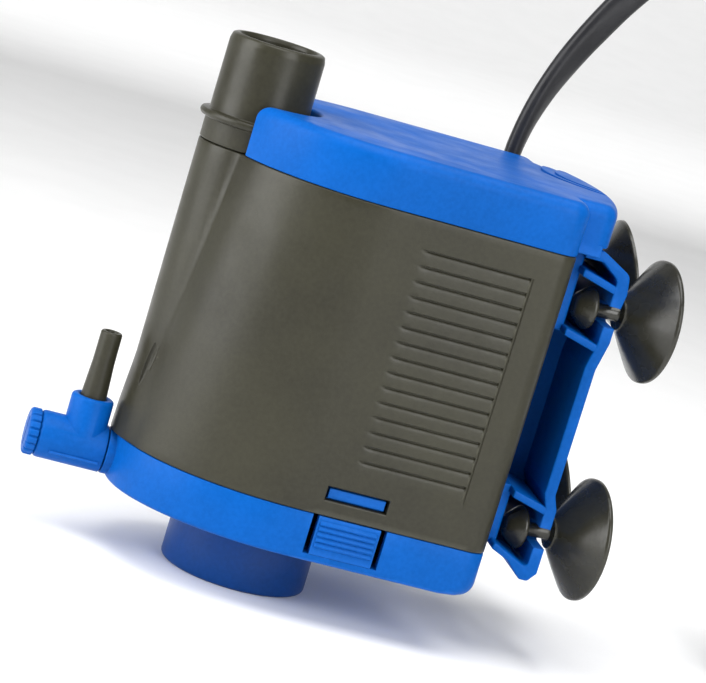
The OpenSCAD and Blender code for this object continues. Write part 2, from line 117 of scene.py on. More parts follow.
BODY = material("body_plastic", (0.029, 0.0278, 0.0165), (0.020, 0.0190, 0.0118), 0.34, cloud_size=30,
                wear=0.25, specular=0.28)
BLUE = material("blue_plastic", (0.0, 0.084, 0.37), (0.0, 0.071, 0.31), 0.4, wear=0.12, cloud_size=18,
                specular=0.08)
# the spigot's material is the cap's blue painted darker: painted shade for its place under the base
SHADED_BLUE = material("navy_plastic", (0.0, 0.042, 0.20), (0.0, 0.034, 0.16), 0.36, wear=0.15, specular=0.2)
BLACK = material("black_plastic", (0.018, 0.018, 0.02), (0.011, 0.011, 0.012), 0.4, wear=0.2)
WHITE = material("white_plastic", (0.72, 0.71, 0.66), (0.64, 0.63, 0.57), 0.42)
CUP = material("cup_rubber", (0.027, 0.026, 0.017), (0.013, 0.0125, 0.009), 0.24, grain=0.18, edge=0.1,
               wear=0.15, specular=0.45)
SEAL = material("seal_rubber", (0.02, 0.02, 0.02), (0.012, 0.012, 0.012), 0.55, grain=0.4, edge=0)
CORD = material("cord_rubber", (0.016, 0.016, 0.018), (0.009, 0.009, 0.011), 0.36, grain=0.25,
                grain_size=0.7, cloud_size=9, edge=0, specular=0.3)
FERRITE = material("magnet_ferrite", (0.06, 0.055, 0.055), (0.035, 0.032, 0.033), 0.5, grain=0.6)
CERAMIC = material("shaft_ceramic", (0.85, 0.85, 0.82), (0.75, 0.75, 0.7), 0.18, grain=0.05)
STEEL = material("core_steel", (0.32, 0.33, 0.35), (0.22, 0.22, 0.24), 0.42, metallic=0.9,
                 cloud_size=4, streak=(1, 1, 16))
COPPER = material("winding_copper", (0.55, 0.2, 0.07), (0.36, 0.12, 0.04), 0.34, metallic=0.85,
                  grain=0.8, cloud_size=2, streak=(10, 1, 1))
FUSE = material("fuse_metal", (0.7, 0.7, 0.68), (0.55, 0.55, 0.54), 0.28, metallic=1.0)
POTTING = material("potting_resin", (0.02, 0.022, 0.024), (0.012, 0.013, 0.014), 0.2, grain=0.5,
                   grain_size=3)
BRASS = material("plug_metal", (0.6, 0.48, 0.24), (0.5, 0.4, 0.2), 0.3, metallic=1.0, wear=0.2)


# ---------------------------------------------------------------- meshes
def piece(name, points, faces, finish, smooth_angle=SMOOTH_ANGLE):
    """Mesh object from points in millimetres."""
    mesh = bpy.data.meshes.new(name)
    mesh.from_pydata([tuple(c * MM for c in p) for p in points], [], faces)
    made = bpy.data.objects.new(name, mesh)
    scene.collection.objects.link(made)
    clean(made)
    mesh.materials.append(finish)
    shade(made, smooth_angle)
    return made


def clean(made):
    """Merges doubled points and turns every face outwards."""
    work = bmesh.new()
    work.from_mesh(made.data)
    bmesh.ops.remove_doubles(work, verts=work.verts, dist=SAME_PLACE)
    bmesh.ops.dissolve_degenerate(work, edges=work.edges, dist=SAME_PLACE)
    bmesh.ops.recalc_face_normals(work, faces=work.faces)
    if work.calc_volume(signed=True) < 0:
        bmesh.ops.reverse_faces(work, faces=work.faces)
    work.to_mesh(made.data)
    work.free()


def shade(made, angle):
    made.data.shade_smooth()
    made.data.set_sharp_from_angle(angle=math.radians(angle))


def loft(rings, closed=True):
    """Points and faces of a skin over rings of equal count, with flat ends when closed."""
    count = len(rings[0])
    points = [tuple(p) for ring in rings for p in ring]
    faces = []
    for k in range(len(rings) - 1):
        low, high = k * count, (k + 1) * count
        for i in range(count):
            j = (i + 1) % count
            faces.append((low + i, low + j, high + j, high + i))
    if closed:
        faces.append(tuple(range(count))[::-1])
        faces.append(tuple((len(rings) - 1) * count + i for i in range(count)))
    return points, faces


def stacked(outline, levels, shift=0.0):
    """Upright solid over an outline, from (height, inset) levels, moved along y."""
    return loft([[(x, y + shift, z) for x, y in offset(outline, -inset)] for z, inset in levels])


def filleted(corners, radius=0.0, steps=4):
    """Polygon with rounded corners; a corner may bring its own radius as a third number."""
    rounded = []
    for i, corner in enumerate(corners):
        r = corner[2] if len(corner) > 2 else radius
        here = np.array(corner[:2], float)
        if r <= 0:
            rounded.append(tuple(here))
            continue
        before = np.array(corners[i - 1][:2]) - here
        after = np.array(corners[(i + 1) % len(corners)][:2]) - here
        reach_before, reach_after = np.linalg.norm(before), np.linalg.norm(after)
        u, v = before / reach_before, after / reach_after
        half = math.acos(max(-1, min(1, float(u @ v)))) / 2
        if half > math.radians(88):  # nearly straight
            rounded.append(tuple(here))
            continue
        # a fillet takes a little less than half of each side
        cut = min(r / math.tan(half), reach_before * 0.48, reach_after * 0.48)
        r = cut * math.tan(half)
        centre = here + (u + v) / np.linalg.norm(u + v) * r / math.sin(half)
        start, end = here + u * cut - centre, here + v * cut - centre
        first = math.atan2(start[1], start[0])
        sweep = (math.atan2(end[1], end[0]) - first + math.pi) % (2 * math.pi) - math.pi
        for k in range(steps + 1):
            a = first + sweep * k / steps
            rounded.append((centre[0] + r * math.cos(a), centre[1] + r * math.sin(a)))
    return rounded


def lathe(profile, place=None, steps=96):
    """Solid of revolution of a closed (radius, height) outline, put in place by a matrix."""
    place = place or Matrix.Identity(4)
    count = len(profile)
    points, faces = [], []
    for k in range(steps):
        c, s = math.cos(2 * math.pi * k / steps), math.sin(2 * math.pi * k / steps)
        points += [tuple(place @ Vector((r * c, r * s, z))) for r, z in profile]
        for i in range(count):
            j, n = (i + 1) % count, (k + 1) % steps
            if profile[i][0] > 0 or profile[j][0] > 0:
                faces.append((k * count + i, k * count + j, n * count + j, n * count + i))
    return points, faces


def extrude(outline, low, high, across="y", bevel=0.0, steps=3):
    """Prism of an (x, z) outline along y, or of a (y, z) outline along x, with rounded rims."""
    angles = np.linspace(0, math.pi / 2, steps + 1) if bevel else [math.pi / 2]
    rim = [(bevel * (1 - math.sin(a)), bevel * (1 - math.cos(a))) for a in angles]
    levels = [(low + up, inset) for up, inset in rim[::-1]] + [(high - up, inset) for up, inset in rim]
    rings = []
    for level, inset in levels:
        flat = offset(outline, -inset)
        rings.append([(u, level, z) if across == "y" else (level, u, z) for u, z in flat])
    return loft(rings)


def offset(outline, distance):
    """Closed outline moved outwards by a distance, which may differ from point to point."""
    here = np.array(outline, float)
    before, after = here - np.roll(here, 1, 0), np.roll(here, -1, 0) - here
    before /= np.linalg.norm(before, axis=1)[:, None] + 1e-12
    after /= np.linalg.norm(after, axis=1)[:, None] + 1e-12
    along = before + after
    along /= np.linalg.norm(along, axis=1)[:, None] + 1e-12
    turn = np.clip((before * along).sum(1), 0.4, 1)
    area = (here[:, 0] * np.roll(here[:, 1], -1) - np.roll(here[:, 0], -1) * here[:, 1]).sum()
    outward = np.stack([along[:, 1], -along[:, 0]], 1) * (1 if area > 0 else -1)
    return here + outward * (np.asarray(distance) / turn)[..., None]


def box(low, high):
    return loft([[(x, y, z) for x, y in ((low[0], low[1]), (high[0], low[1]), (high[0], high[1]),
                                         (low[0], high[1]))] for z in (low[2], high[2])])


def rod(start, end, radius, steps=64):
    """Round bar between two points, for cutting and joining."""
    start, end = Vector(start), Vector(end)
    turn = (end - start).to_track_quat("Z", "Y").to_matrix().to_4x4()
    length = (end - start).length
    outline = [(0, 0), (radius, 0), (radius, length), (0, length)]
    return lathe(outline, Matrix.Translation(start) @ turn, steps)


def combined(made, tools, operation):
    """Joins other solids to a piece, or cuts them out of it."""
    helpers = []
    for points, faces in tools:
        tool = piece("helper", points, faces, made.data.materials[0])
        helpers.append(tool)
        change = made.modifiers.new("change", "BOOLEAN")
        change.operation, change.solver, change.object = operation, "EXACT", tool
    settle(made)
    for tool in helpers:
        bpy.data.objects.remove(tool)


def taken(made):
    """Points and faces of a helper, which is removed."""
    points = [tuple(v.co / MM) for v in made.data.vertices]
    faces = [tuple(p.vertices) for p in made.data.polygons]
    bpy.data.objects.remove(made)
    return points, faces


def settle(made):
    """Applies the modifiers of a piece."""
    graph = bpy.context.evaluated_depsgraph_get()
    mesh = bpy.data.meshes.new_from_object(made.evaluated_get(graph))
    made.modifiers.clear()
    made.data = mesh
    clean(made)
    shade(made, SMOOTH_ANGLE)


def merge(*parts):
    """One list of points and faces for several solids."""
    points, faces = [], []
    for more_points, more_faces in parts:
        start = len(points)
        points += more_points
        faces += [tuple(i + start for i in face) for face in more_faces]
    return points, faces


def stand_in(made, body, nodes):
    """Puts a piece on a body, in the place of CAD nodes, which it hides."""
    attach(made, body)
    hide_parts(*nodes)
    return made


# ---------------------------------------------------------------- camera
AZIMUTH, ELEVATION, ROLL = (math.radians(a) for a in (-12.31, 9.69, 16.89))
TARGET = Vector((10.65, 0, 53.76))
DISTANCE = 660.21
back = Vector((math.sin(AZIMUTH) * math.cos(ELEVATION), -math.cos(AZIMUTH) * math.cos(ELEVATION),
               math.sin(ELEVATION)))
level = Vector((math.cos(AZIMUTH), math.sin(AZIMUTH), 0))
rise = back.cross(level)
right = level * math.cos(ROLL) + rise * math.sin(ROLL)
upward = rise * math.cos(ROLL) - level * math.sin(ROLL)
lens = bpy.data.cameras.new("camera")
lens.lens, lens.sensor_width, lens.clip_start, lens.clip_end = 162.35, 36, 0.01, 30
camera = bpy.data.objects.new("camera", lens)
camera.matrix_world = Matrix.Translation((TARGET + back * DISTANCE) * MM) @ Matrix(
    (right, upward, back)).transposed().to_4x4()
scene.collection.objects.link(camera)
scene.camera = camera


# ---------------------------------------------------------------- cord
CORD_W, CORD_T = 6.4, 4.0
CORD_EXIT = (39.9, 34.6, 95.4)
CORD_ROUTE = [CORD_EXIT, (40.1, 34.6, 99), (41, 34.4, 105), (42.8, 34.1, 112), (45.8, 33.8, 120),
              (49.6, 33.5, 128), (54, 33, 136), (60, 32.5, 144), (68, 32, 150.8), (78, 32, 154.5),
              (89, 32, 154.5), (99, 32, 150), (107, 32, 141), (113.4, 32, 129), (118, 32, 115),
              (121.2, 32, 100), (123.2, 31.5, 84), (124, 30.5, 68), (124, 28, 52), (124, 23.6, 37),
              (124, 17, 25), (124, 9.6, 18.4), (124, 2, 16.2)]
TAIL_ROUTE = [(154, -34.6, 3.2), (162, -34.6, 3.2), (170, -34.6, 3.5), (177, -34.6, 4.8),
              (183, -34.6, 6), (188, -34.6, 6.5)]
COIL_CENTRE = (154, 2)
PLUG_X, PLUG_Y, PLUG_Z = TAIL_ROUTE[-1]
PIN_Y, PIN_HALF = 6.35, 0.75
# turn, radius and height along the coil, which is wound inwards and outwards in three layers
COIL_STOPS = [(0, 30, 16.2), (0.6, 30, 16.2), (0.85, 36.6, 16.2), (1.5, 36.6, 16.2), (1.75, 36.6, 9.7),
              (2.25, 36.6, 9.7), (2.5, 30, 9.7), (2.85, 30, 9.7), (3.1, 30, 3.2), (3.6, 30, 3.2),
              (3.85, 36.6, 3.2), (4.25, 36.6, 3.2)]
# direction of the flat cord's width at points of the route
WIDTH_STOPS = [(0, (0.25, 0.97, 0)), (6, (0.88, 0, -0.47)), (9, (0, 1, 0)), (15, (0, 1, 0)),
               (19, (1, 0, 0)), (21, (1, 0, 0.15)), (22, (0.6, 0, 0.8))]


def smooth_line(points, step):
    """Catmull-Rom curve through points."""
    points = np.array(points, float)
    ends = np.vstack([2 * points[0] - points[1], points, 2 * points[-1] - points[-2]])
    dense = []
    for i in range(len(points) - 1):
        a, b, c, d = ends[i:i + 4]
        for t in np.linspace(0, 1, 24, endpoint=False):
            dense.append(0.5 * (2 * b + (c - a) * t + (2 * a - 5 * b + 4 * c - d) * t ** 2
                                + (3 * b - a - 3 * c + d) * t ** 3))
    dense = np.array(dense + [points[-1]])
    return evenly(dense, step)


def evenly(line, step):
    """The same line in nearly equal steps."""
    lengths = np.concatenate([[0], np.cumsum(np.linalg.norm(np.diff(line, axis=0), axis=1))])
    stops = np.linspace(0, lengths[-1], max(2, round(lengths[-1] / step) + 1))
    return np.stack([np.interp(stops, lengths, line[:, k]) for k in range(3)], 1)


def eased(t):
    """Smooth step from 0 to 1, flat before t = 0 and after t = 1."""
    t = max(0, min(1, t))
    return t * t * (3 - 2 * t)


def squared(value, power):
    """A sine or cosine that draws a squarer round."""
    return math.copysign(abs(value) ** power, value)


def coil_line(step):
    """The wound turns, eased from each radius and height to the next."""
    line = []
    for (t0, r0, z0), (t1, r1, z1) in zip(COIL_STOPS, COIL_STOPS[1:]):
        for t in np.linspace(t0, t1, max(2, int((t1 - t0) * 240)), endpoint=False):
            share = eased((t - t0) / (t1 - t0))
            radius, angle = r0 + (r1 - r0) * share, math.pi * (1 + 2 * t)
            line.append((COIL_CENTRE[0] + radius * math.cos(angle),
                         COIL_CENTRE[1] + radius * math.sin(angle), z0 + (z1 - z0) * share))
    line.append((COIL_CENTRE[0], COIL_CENTRE[1] - COIL_STOPS[-1][1], COIL_STOPS[-1][2]))
    return evenly(np.array(line), step)


def build_cord():
    """Flat cord from the gland through the arch and the coil to the plug."""
    free, coil, tail = smooth_line(CORD_ROUTE, 1.6), coil_line(1.8), smooth_line(TAIL_ROUTE, 1.6)
    line = np.vstack([free, coil[1:], tail[1:]])
    lengths = np.concatenate([[0], np.cumsum(np.linalg.norm(np.diff(line, axis=0), axis=1))])
    total = lengths[-1]
    stops = []
    for index, direction in WIDTH_STOPS:
        nearest = np.argmin(np.linalg.norm(free - np.array(CORD_ROUTE[index]), axis=1))
        stops.append((lengths[nearest], direction))
    start, finish = lengths[len(free)], lengths[len(free) + len(coil) - 1]
    stops += [(start + 12, (0, 0, 1)), (finish - 4, (0, 0, 1)), (total - 6, (0, 1, 0.02)),
              (total, (0, 1, 0))]
    widths = np.stack([np.interp(lengths, [s[0] for s in stops], [s[1][k] for s in stops])
                       for k in range(3)], 1)
    heading = np.gradient(line, axis=0)
    heading /= np.linalg.norm(heading, axis=1)[:, None]
    widths -= heading * (widths * heading).sum(1)[:, None]
    widths /= np.linalg.norm(widths, axis=1)[:, None]
    flats = np.cross(heading, widths)
    rings = []
    for point, width, flat in zip(line, widths, flats):
        ring = []
        for k in range(20):
            c, s = math.cos(math.pi * k / 10), math.sin(math.pi * k / 10)
            across = CORD_W / 2 * squared(c, 0.85)
            waist = 1 - 0.07 * abs(s) ** 8
            thick = CORD_T / 2 * squared(s, 0.85) * waist
            ring.append(point + width * across + flat * thick)
        rings.append(ring)
    made = piece("flat_cord", *loft(rings), CORD, smooth_angle=60)
    stand_in(made, "pump_body", ["cord", "cord_coil", "cord_tail"])
    return made, line, total


def build_plug():
    """Flat two-pin plug with a tapered, grooved neck and a rounded shell."""
    rings = []
    # distance from the neck's end, half width and half height
    profile = [(0, 3.6, 2.9), (0.2, 4.2, 3.4), (2, 5.6, 4.3), (4, 7.6, 5.3), (5.2, 8.4, 5.8), (6.4, 7.7, 5.1),
               (7.6, 8.9, 6.0), (8.8, 8.3, 5.4), (10, 9.6, 6.2), (11.2, 9.0, 5.6), (12.4, 10.3, 6.3),
               (14, 10.8, 6.45), (18, 11, 6.5), (22.4, 11, 6.5), (23.5, 10.7, 6.2), (23.9, 10.1, 5.7),
               (24, 9.4, 5.2)]
    for x, half_w, half_h in profile:
        ring = []
        for k in range(40):
            c, s = math.cos(math.pi * k / 20), math.sin(math.pi * k / 20)
            ring.append((PLUG_X + x, PLUG_Y + half_w * squared(c, 0.5),
                         PLUG_Z + half_h * squared(s, 0.5)))
        rings.append(ring)
    shell = stand_in(piece("plug_shell", *loft(rings), BLACK, 50), "pump_body", ["plug_body"])
    outline = filleted([(-0.2, -3.2, 0), (14.8, -3.2, 0), (17, -1.9, 0.6), (17, 1.9, 0.6), (14.8, 3.2, 0),
                        (-0.2, 3.2, 0)])
    front = PLUG_X + profile[-1][0]
    hole_x, hole_r = front + 12.5, 1.5
    flat = [(front + x, z + PLUG_Z) for x, z in outline]
    blades, holes = [], []
    for side in (-1, 1):
        y = PLUG_Y + side * PIN_Y
        blades.append(extrude(flat, y - PIN_HALF, y + PIN_HALF, "y", 0.18, 2))
        holes.append(rod((hole_x, y - 3, PLUG_Z), (hole_x, y + 3, PLUG_Z), hole_r, steps=32))
    pins = piece("plug_pins", *merge(*blades), BRASS)
    combined(pins, holes, "DIFFERENCE")
    stand_in(pins, "pump_body", ["plug_blades"])
    return shell, pins


def build_tie():
    """Cable tie closed round the turns, with its lock on top."""
    low_r, high_r, height = 27.1, 39.5, 19.7
    cx, cy = COIL_CENTRE
    gap, thick, half_width, lock_half = 0.15, 1.15, 1.8, 1.78
    inner = filleted([(cx + low_r - gap, 0), (cx + high_r + gap, 0), (cx + high_r + gap, height + 0.1),
                      (cx + low_r - gap, height + 0.1)], 1.5, 5)
    outer = offset(inner, thick)
    rings = []
    for y, inset in ((-half_width, 0.3), (-1.6, 0), (1.6, 0), (half_width, 0.3)):
        rings.append([(x, cy + y, max(z, 0.0)) for x, z in offset(outer, -inset)])
    inner_rings = [[(x, cy + y, max(z, 0.0)) for x, z in inner] for y in (half_width, -half_width)]
    band = [*rings, *inner_rings, rings[0]]
    strap = piece("tie_band", *loft(band, closed=False), WHITE)
    outline = filleted([(cx + 31, height + 0.15), (cx + 36, height + 0.15), (cx + 36, height + 1.25),
                        (cx + 31, height + 1.25)], 0.3)
    lock = extrude(outline, cy - lock_half, cy + lock_half, "y", 0.2, 2)
    combined(strap, [lock], "UNION")
    return stand_in(strap, "pump_body", ["coil_tie"])


cord_piece, cord_line, cord_length = build_cord()
plug_pieces = build_plug()
tie_piece = build_tie()


# ---------------------------------------------------------------- housing
HALF_DEPTH, NOSE_X, BACK_X, CORNER_R = 30.4, 4.5, 43.5, 4.0
BASE_BOTTOM, BASE_SEAM, CAP_SEAM, CAP_TOP = 13.4, 23.4, 86.6, 97.6
WALL = 2.0
RISER_X, RISER_R, PIPE_BORE_R, COUNTERBORE_R, COUNTERBORE_Z = -21.8, 10.4, 7.8, 9.2, 80.4
RISER = Matrix.Translation((RISER_X, 0, 0))
ROTOR_BORE_R = 11.25
RAIL_Y = 12
# length of the nose from its centre at the two seams
REACH_LOW, REACH_HIGH = 36.3, 31.2
LATCH_X, LATCH_GAP = (7.9, 20.9), 1.3
WINDOW_Z = (26.6, 29.5)
# the slats fade in from the left end and stop before an upright groove
GRILLE_LEFT, GRILLE_FADE, GRILLE_RIGHT = 11.9, 2.3, 35
GRILLE_Z, SLATS, PITCH = 33.0, 15, 47.5 / 15
GROOVE_X, GROOVE_DEPTH = 35.45, 0.2
# columns of the near side, close together at both ends of the slats
NEAR_COLUMNS = [7, 9.5, 11.2, 11.9, 12.4, 12.9, 13.5, 14.2, 15, 16.5, 18.5, 21, 24, 27, 30, 32.5, 34,
                34.6, 34.86, 34.94, 35.06, 35.14, 35.3, GROOVE_X, 35.6, 36.5, 38]
# height within a slat and its depth below the side: a lip, a long slope and a groove
SLAT_SHAPE = [(0.0, 0.1), (0.12, 0.0), (0.9, 0.05), (1.8, 0.12), (2.2, 0.17), (2.5, 0.27), (2.7, 0.42),
              (2.82, 0.62), (3.06, 0.62)]
# place, half length and half width of the thumb-nail streaks where the riser pipe's crease ends
STREAKS = [((-30.1, -7.95, 41.5), 4.4, 0.85), ((-30.5, -6.55, 39.5), 4.8, 0.8)]
STREAK_LEAN = Matrix.Rotation(math.radians(6), 4, "Y")


def reach_at(z):
    """Length of the nose at a height; it leans from seam to seam."""
    return REACH_LOW + (REACH_HIGH - REACH_LOW) * (z - BASE_SEAM) / (CAP_SEAM - BASE_SEAM)


def riser_reach(angle):
    """Distance from the nose centre to the riser pipe's outside, at an angle from -X."""
    d = NOSE_X - RISER_X
    side = d * math.sin(angle)
    return d * math.cos(angle) + math.sqrt(RISER_R ** 2 - side ** 2) if abs(side) < RISER_R else 0.0


def plan(reach, blend=0.0, steps=120, columns=NEAR_COLUMNS):
    """Plan outline, counterclockwise from the near side's left end; with a blend width the riser
    pipe is melted into the nose."""
    outline = [(NOSE_X, -HALF_DEPTH)] + [(x, -HALF_DEPTH) for x in columns]
    for side in (-1, 1):
        centre = (BACK_X - CORNER_R, side * (HALF_DEPTH - CORNER_R))
        first = -math.pi / 2 if side < 0 else 0
        outline += [(centre[0] + CORNER_R * math.cos(first + math.pi / 20 * k),
                     centre[1] + CORNER_R * math.sin(first + math.pi / 20 * k)) for k in range(11)]
        if side < 0:
            outline += [(BACK_X, y) for y in (-20, -10, 0, 10, 20)]
    outline += [(x, HALF_DEPTH) for x in (32, 24, 16, 8)]
    for k in range(steps):
        angle = math.pi / 2 + math.pi * k / steps
        c, s = math.cos(angle), math.sin(angle)
        far = 1 / math.sqrt((c / reach) ** 2 + (s / HALF_DEPTH) ** 2)
        if blend:
            pipe = riser_reach(angle - math.pi)
            near_both = max(blend - abs(far - pipe), 0) / blend
            far = max(far, pipe) + near_both ** 2 * blend / 4
        outline.append((NOSE_X + far * c, far * s))
    return outline


def inner_plan(reach):
    """Inside of the walls."""
    return offset(plan(reach, steps=48, columns=[20, 30]), -WALL)


def rounded_rings(outline, z, height, inset, upwards, steps):
    """Rings that round the rim at height z: a top rim when upwards, otherwise a bottom rim."""
    rings = []
    for k in range(steps + 1):
        a = math.pi / 2 * k / steps
        edge = offset(outline, -inset * (1 - math.cos(a)))
        level_z = z - height + height * math.sin(a) if upwards else z + height - height * math.sin(a)
        rings.append([(x, y, level_z) for x, y in edge])
    return rings if upwards else rings[::-1]


def blend_at(z):
    """Width of the blend: the pipe meets the nose in a crisp line at the top and in a soft
    valley near the base."""
    crisp, wider, soft_from, height = 0.5, 3.6, 50, 22
    return crisp + wider * eased((soft_from - z) / height)


def grille_share(x):
    """Share of the slats' full depth."""
    return 0.0 if x >= GRILLE_RIGHT else eased((x - GRILLE_LEFT) / GRILLE_FADE)


def build_housing():
    """Motor housing with the riser pipe, the grille, the latch window and the bracket rails."""
    rows = [25, 27, 29, 31, 32.4]
    depths = {}
    for i in range(SLATS):
        for height, depth in SLAT_SHAPE:
            z = GRILLE_Z + i * PITCH + height
            rows.append(z)
            depths[z] = depth if (i or height > 0.1) else 0.0
    rows += [GRILLE_Z + SLATS * PITCH, 81.2, 83, 85]
    rim = 0.35
    bottom = plan(reach_at(BASE_SEAM), blend_at(BASE_SEAM))
    top = plan(reach_at(CAP_SEAM), blend_at(CAP_SEAM))
    rings = rounded_rings(bottom, BASE_SEAM, rim, rim, False, 3)
    for z in rows:
        ring = [(x, y, z) for x, y in plan(reach_at(z), blend_at(z))]
        if z in depths:
            for k, column in enumerate(NEAR_COLUMNS, 1):
                depth = GROOVE_DEPTH if column == GROOVE_X else depths[z] * grille_share(column)
                ring[k] = (column, -HALF_DEPTH + depth, z)
        rings.append(ring)
    rings += rounded_rings(top, CAP_SEAM, rim, rim, True, 3)
    housing = piece("housing_shell", *loft(rings), BODY, 40)
    chamber = loft([[(x, y, z) for x, y in inner_plan(reach_at(z))] for z in (25.9, CAP_SEAM + 2)])
    cavity = piece("cavity", *chamber, BODY)
    latch_block = box((LATCH_X[0] - 2.5, -HALF_DEPTH, 20), (LATCH_X[1] + 2.5, -22.8, 32.2))
    combined(cavity, [rod((RISER_X, 0, 0), (RISER_X, 0, 120), RISER_R), latch_block], "DIFFERENCE")
    window = loft([[(LATCH_X[0] - g, y, WINDOW_Z[0] - g), (LATCH_X[1] + g, y, WINDOW_Z[0] - g),
                    (LATCH_X[1] + g, y, WINDOW_Z[1] + g), (LATCH_X[0] - g, y, WINDOW_Z[1] + g)]
                   for y, g in ((-31.4, 1.2), (-30.2, 0), (-27, 0))])
    pocket = box((LATCH_X[0] - LATCH_GAP, -HALF_DEPTH + WALL - 0.05, 20), (LATCH_X[1] + LATCH_GAP, -24, 31))
    combined(housing, [taken(cavity), window, pocket, rod((RISER_X, 0, 20), (RISER_X, 0, 99), PIPE_BORE_R),
                       rod((RISER_X, 0, COUNTERBORE_Z), (RISER_X, 0, 99), COUNTERBORE_R),
                       rod((0, 0, 20), (0, 0, 26.5), ROTOR_BORE_R)], "DIFFERENCE")
    rail = filleted([(BACK_X - 0.5, -1.5), (BACK_X + 1.5, -1.5), (BACK_X + 1.5, -3, 0.25),
                     (BACK_X + 3.1, -3, 0.35), (BACK_X + 3.1, 3, 0.35), (BACK_X + 1.5, 3, 0.25),
                     (BACK_X + 1.5, 1.5), (BACK_X - 0.5, 1.5)], 0, 3)
    combined(housing, [stacked(rail, ((27, 0.3), (27.3, 0), (83.7, 0), (84, 0.3)), y)
                       for y in (-RAIL_Y, RAIL_Y)], "UNION")
    streaks = []
    for place, along, width in STREAKS:
        arc = [(width * math.cos(a), along * math.sin(a)) for a in np.linspace(-1.4, 1.4, 15)]
        streaks.append(lathe([(0, -along), *arc, (0, along)], Matrix.Translation(place) @ STREAK_LEAN, 24))
    combined(housing, streaks, "DIFFERENCE")
    return stand_in(housing, "pump_body", ["motor_housing"])


# ---------------------------------------------------------------- cap
CAP_LOW, CUT_R = CAP_SEAM + 0.1, 12.3
# height and inset of the rounding along the top
CAP_ROUND = (2.8, 2.6)
TONGUE_R, TONGUE_TIP, TONGUE_HALF, TONGUE_LOW = 58.0, 54.5, 22.5, 88.9
SKIRT_Y, SKIRT_TIP, SKIRT_HALF = 21.9, 49.5, 0.6
RING_CENTRE, RING_RADII = (57.4, 12.8), (15.5, 12.4)
GLAND_X, GLAND_Z, GLAND_ARM_R, GLAND_HOLE_R = 38.6, 90.6, 2.8, 2.85


def tongue_edge(y):
    return TONGUE_TIP - TONGUE_R + math.sqrt(TONGUE_R ** 2 - y * y)


def build_cap():
    """Top cap with its tongue over the bracket, skirts, two shallow rings and the gland's hole."""
    outline = plan(REACH_HIGH, steps=90, columns=[12, 20, 28, 34])
    rings = rounded_rings(outline, CAP_LOW, 0.25, 0.25, False, 2)
    rings += rounded_rings(outline, CAP_TOP, *CAP_ROUND, True, 9)
    cap = piece("cap_shell", *loft(rings), BLUE, 40)
    arc = [(tongue_edge(y), y) for y in np.linspace(-TONGUE_HALF + 5, TONGUE_HALF - 5, 33)]
    corner_x = tongue_edge(TONGUE_HALF) + 0.3
    tongue = filleted([(35.5, TONGUE_HALF), (35.5, -TONGUE_HALF), (corner_x, -TONGUE_HALF, 3.4), *arc,
                       (corner_x, TONGUE_HALF, 3.4)], 0, 7)
    rings = rounded_rings(tongue, TONGUE_LOW, 0.3, 0.3, False, 2)
    rings += rounded_rings(tongue, CAP_TOP - 0.02, *CAP_ROUND, True, 9)
    skirt = filleted([(43, -SKIRT_HALF), (SKIRT_TIP, -SKIRT_HALF, 0.35), (SKIRT_TIP, SKIRT_HALF, 0.35),
                      (43, SKIRT_HALF)], 0, 3)
    skirts = [stacked(skirt, ((86.9, 0.2), (87.1, 0), (89.4, 0)), y) for y in (-SKIRT_Y, SKIRT_Y)]
    combined(cap, [loft(rings), *skirts], "UNION")
    hollow = stacked(inner_plan(REACH_HIGH), ((CAP_LOW - 1, 0), (CAP_TOP - WALL - 1, 0)))
    hollow_piece = piece("hollow", *hollow, BLUE)
    combined(hollow_piece, [rod((RISER_X, 0, 80), (RISER_X, 0, 120), CUT_R + WALL)], "DIFFERENCE")
    flare = [(0, 80), (CUT_R, 80), (CUT_R, CAP_TOP - 0.7), (CUT_R + 0.08, CAP_TOP - 0.4),
             (CUT_R + 0.25, CAP_TOP - 0.15), (CUT_R + 0.6, CAP_TOP), (CUT_R + 1.5, CAP_TOP + 0.4), (0, 120)]
    grooves = []
    for r in RING_RADII:
        outline = [(r - 0.02, CAP_TOP + 0.2), (r, CAP_TOP - 0.45), (r + 0.12, CAP_TOP - 0.45),
                   (r + 2.2, CAP_TOP), (r + 2.8, CAP_TOP + 0.2)]
        grooves.append(lathe(outline, Matrix.Translation((*RING_CENTRE, 0)), 144))
    gland_hole = rod((GLAND_X, 26.4, GLAND_Z), (GLAND_X, 34.4, GLAND_Z), GLAND_HOLE_R)
    combined(cap, [taken(hollow_piece), lathe(flare, RISER, 128), gland_hole, *grooves], "DIFFERENCE")
    return stand_in(cap, "pump_body", ["top_cap"])


# ---------------------------------------------------------------- base and latch
BASE_FLOOR = BASE_BOTTOM + WALL
PORT_Z, PORT_R, PORT_NECK_R = 18.7, 4.95, 3.2
INTAKE_BORE_R = 11.06
ALONG_X = Matrix.Rotation(math.pi / 2, 4, "Y")


